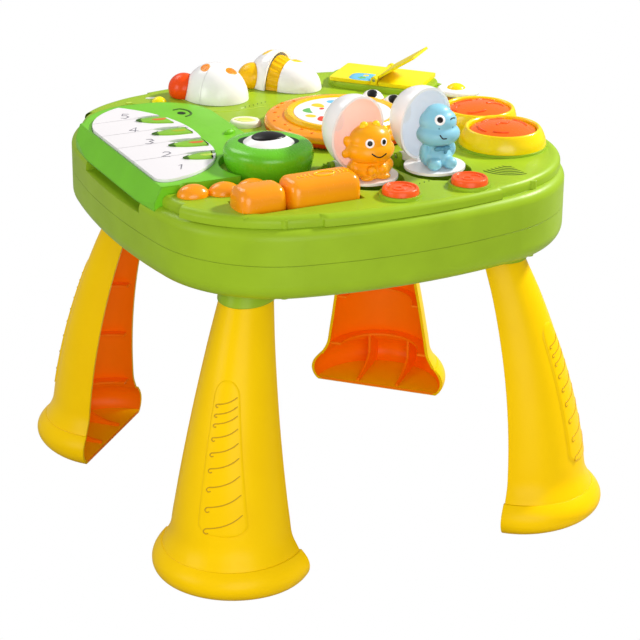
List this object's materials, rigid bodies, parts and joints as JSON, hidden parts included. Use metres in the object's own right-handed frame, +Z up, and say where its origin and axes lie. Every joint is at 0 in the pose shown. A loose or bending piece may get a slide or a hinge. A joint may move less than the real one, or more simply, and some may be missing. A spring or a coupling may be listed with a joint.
{
  "type": "activity_table",
  "caption": "Toddler's musical activity table: a rounded green tray of keys, buttons, rollers, eggs, drums and a book on four splayed yellow legs",
  "frame": {"origin": "on the floor under the centre of the tray", "axes": "+Z up, +X to the right along the front side, +Y from the front to the back"},
  "size_m": [0.4582, 0.4582, 0.4229],
  "materials": {
    "green": "satin yellow-green moulded plastic",
    "keyboard_green": "bright green moulded plastic",
    "yellow": "satin warm yellow plastic",
    "white": "smooth white plastic",
    "orange": "warm orange plastic",
    "red_orange": "red-orange plastic",
    "drum_yellow": "yellow plastic",
    "leaf": "leaf green plastic with small coloured marks",
    "blue": "light blue plastic",
    "figure_orange": "orange-yellow plastic",
    "eye": "white eye with a black pupil",
    "picture": "printed disc with simple coloured shapes",
    "book_yellow": "yellow plastic leaf with a simple printed patch",
    "lens": "translucent yellow lamp cover",
    "dark": "dark inner plastic and fibre board",
    "steel": "plated steel",
    "battery": "plain wrapped cells"
  },
  "bodies": {
    "table": {"lower_case": "green", "upper_case": "green", "case_screws": "steel", "keyboard_housing": "keyboard_green", "key_leaves": "leaf", "turntable_body": "orange", "turntable_eyes": "eye", "roller_axle": "steel", "drum_cups": "drum_yellow", "fried_egg_base": "drum_yellow", "speaker": "dark", "book_base": "green", "book_cover": "book_yellow", "book_hinge_pin": "steel", "slide_egg_left_back": "white", "slide_egg_right_back": "white", "slide_egg_left_ball": "red_orange", "slide_egg_right_ball": "drum_yellow", "egg_hinge_pin_left": "steel", "egg_hinge_pin_right": "steel", "light_lens": "lens", "leg_front_left": "yellow", "leg_front_right": "yellow", "leg_back_left": "yellow", "leg_back_right": "yellow", "battery_cover": "green", "batteries": "battery", "battery_contacts": "steel", "circuit_board": "dark"},
    "key_1": {"white_key_1": "white"},
    "key_2": {"white_key_2": "white"},
    "key_3": {"white_key_3": "white"},
    "key_4": {"white_key_4": "white"},
    "key_5": {"white_key_5": "white"},
    "toe_1": {"toe_button_1": "orange"},
    "toe_2": {"toe_button_2": "orange"},
    "toe_3": {"toe_button_3": "orange"},
    "eye": {"eye_knob": "keyboard_green", "eye_ball": "eye"},
    "leaf": {"leaf_button": "white"},
    "roller_small": {"small_roller": "orange"},
    "roller_large": {"large_roller": "orange"},
    "turntable": {"turntable_ring": "drum_yellow", "picture_disc": "picture"},
    "egg_left": {"egg_shell_left": "white", "figure_left": "figure_orange"},
    "egg_right": {"egg_shell_right": "white", "figure_right": "blue"},
    "release_left": {"release_button_left": "red_orange"},
    "release_right": {"release_button_right": "red_orange"},
    "drum_front": {"drum_pad_front": "red_orange"},
    "drum_back": {"drum_pad_back": "red_orange"},
    "fried_egg": {"fried_egg_white": "white", "fried_egg_yolk": "drum_yellow"},
    "page": {"book_page": "book_yellow"},
    "cap_left": {"slide_egg_left_cap": "white", "slide_egg_left_core": "orange"},
    "cap_right": {"slide_egg_right_cap": "white", "slide_egg_right_core": "drum_yellow"},
    "mode": {"mode_switch": "green"}
  },
  "joints": [
    {"name": "key_1_press", "type": "hinge", "parent": "table", "child": "key_1", "pos_m": [-0.1475, -0.0455, 0.3535], "axis": [0, -1, 0], "range_deg": [0, 2.3], "stiffness_Nm_per_rad": 0.25, "springref_deg": -6.88},
    {"name": "key_2_press", "type": "hinge", "parent": "table", "child": "key_2", "pos_m": [-0.1275, -0.005, 0.3535], "axis": [0, -1, 0], "range_deg": [0, 2.3], "stiffness_Nm_per_rad": 0.25, "springref_deg": -6.88},
    {"name": "key_3_press", "type": "hinge", "parent": "table", "child": "key_3", "pos_m": [-0.1275, 0.03475, 0.3535], "axis": [0, -1, 0], "range_deg": [0, 2.3], "stiffness_Nm_per_rad": 0.25, "springref_deg": -6.88},
    {"name": "key_4_press", "type": "hinge", "parent": "table", "child": "key_4", "pos_m": [-0.1275, 0.074, 0.3535], "axis": [0, -1, 0], "range_deg": [0, 2.3], "stiffness_Nm_per_rad": 0.25, "springref_deg": -6.88},
    {"name": "key_5_press", "type": "hinge", "parent": "table", "child": "key_5", "pos_m": [-0.1475, 0.10875, 0.3535], "axis": [0, -1, 0], "range_deg": [0, 2.3], "stiffness_Nm_per_rad": 0.25, "springref_deg": -6.88},
    {"name": "toe_1_press", "type": "slide", "parent": "table", "child": "toe_1", "axis": [0, 0, -1], "range_m": [0, 0.0025], "stiffness_N_per_m": 250, "springref_m": -0.002},
    {"name": "toe_2_press", "type": "slide", "parent": "table", "child": "toe_2", "axis": [0, 0, -1], "range_m": [0, 0.0025], "stiffness_N_per_m": 250, "springref_m": -0.002},
    {"name": "toe_3_press", "type": "slide", "parent": "table", "child": "toe_3", "axis": [0, 0, -1], "range_m": [0, 0.0025], "stiffness_N_per_m": 250, "springref_m": -0.002},
    {"name": "eye_turn", "type": "hinge", "parent": "table", "child": "eye", "pos_m": [-0.08, -0.071, 0.35], "axis": [0, 0, 1], "continuous": true},
    {"name": "leaf_press", "type": "slide", "parent": "table", "child": "leaf", "axis": [0, 0, -1], "range_m": [0, 0.0025], "stiffness_N_per_m": 250, "springref_m": -0.002},
    {"name": "small_roller_spin", "type": "hinge", "parent": "table", "child": "roller_small", "pos_m": [-0.127, -0.155, 0.353], "axis": [1, 0, 0], "continuous": true},
    {"name": "large_roller_spin", "type": "hinge", "parent": "table", "child": "roller_large", "pos_m": [-0.0705, -0.155, 0.353], "axis": [1, 0, 0], "continuous": true},
    {"name": "turntable_spin", "type": "hinge", "parent": "table", "child": "turntable", "pos_m": [0.038, 0.015, 0.36], "axis": [0, 0, 1], "continuous": true},
    {"name": "egg_left_lid", "type": "hinge", "parent": "table", "child": "egg_left", "pos_m": [-0.0145, -0.0865, 0.352], "axis": [0.9888, 0.1495, 0], "range_deg": [0, 84], "stiffness_Nm_per_rad": 0.06, "springref_deg": -68.75},
    {"name": "egg_right_lid", "type": "hinge", "parent": "table", "child": "egg_right", "pos_m": [0.054, -0.0875, 0.352], "axis": [0.9888, 0.1495, 0], "range_deg": [0, 84], "stiffness_Nm_per_rad": 0.06, "springref_deg": -68.75},
    {"name": "release_left_press", "type": "slide", "parent": "table", "child": "release_left", "axis": [0, 0, -1], "range_m": [0, 0.0025], "stiffness_N_per_m": 300, "springref_m": -0.002},
    {"name": "release_right_press", "type": "slide", "parent": "table", "child": "release_right", "axis": [0, 0, -1], "range_m": [0, 0.0025], "stiffness_N_per_m": 300, "springref_m": -0.002},
    {"name": "drum_front_press", "type": "slide", "parent": "table", "child": "drum_front", "axis": [0, 0, -1], "range_m": [0, 0.0025], "stiffness_N_per_m": 400, "springref_m": -0.003},
    {"name": "drum_back_press", "type": "slide", "parent": "table", "child": "drum_back", "axis": [0, 0, -1], "range_m": [0, 0.0025], "stiffness_N_per_m": 400, "springref_m": -0.003},
    {"name": "fried_egg_press", "type": "slide", "parent": "table", "child": "fried_egg", "axis": [0, 0, -1], "range_m": [0, 0.0025], "stiffness_N_per_m": 250, "springref_m": -0.002},
    {"name": "page_turn", "type": "hinge", "parent": "table", "child": "page", "pos_m": [0.141, 0.13, 0.3611], "axis": [0.7314, 0.682, 0], "range_deg": [-145, 31]},
    {"name": "slide_egg_left_open", "type": "slide", "parent": "table", "child": "cap_left", "axis": [0.5592, -0.829, 0], "range_m": [0, 0.012]},
    {"name": "slide_egg_right_open", "type": "slide", "parent": "table", "child": "cap_right", "axis": [0.5592, -0.829, 0], "range_m": [-0.012, 0]},
    {"name": "mode_slide", "type": "slide", "parent": "table", "child": "mode", "axis": [1, 0, 0], "range_m": [-0.0035, 0.0035]}
  ]
}
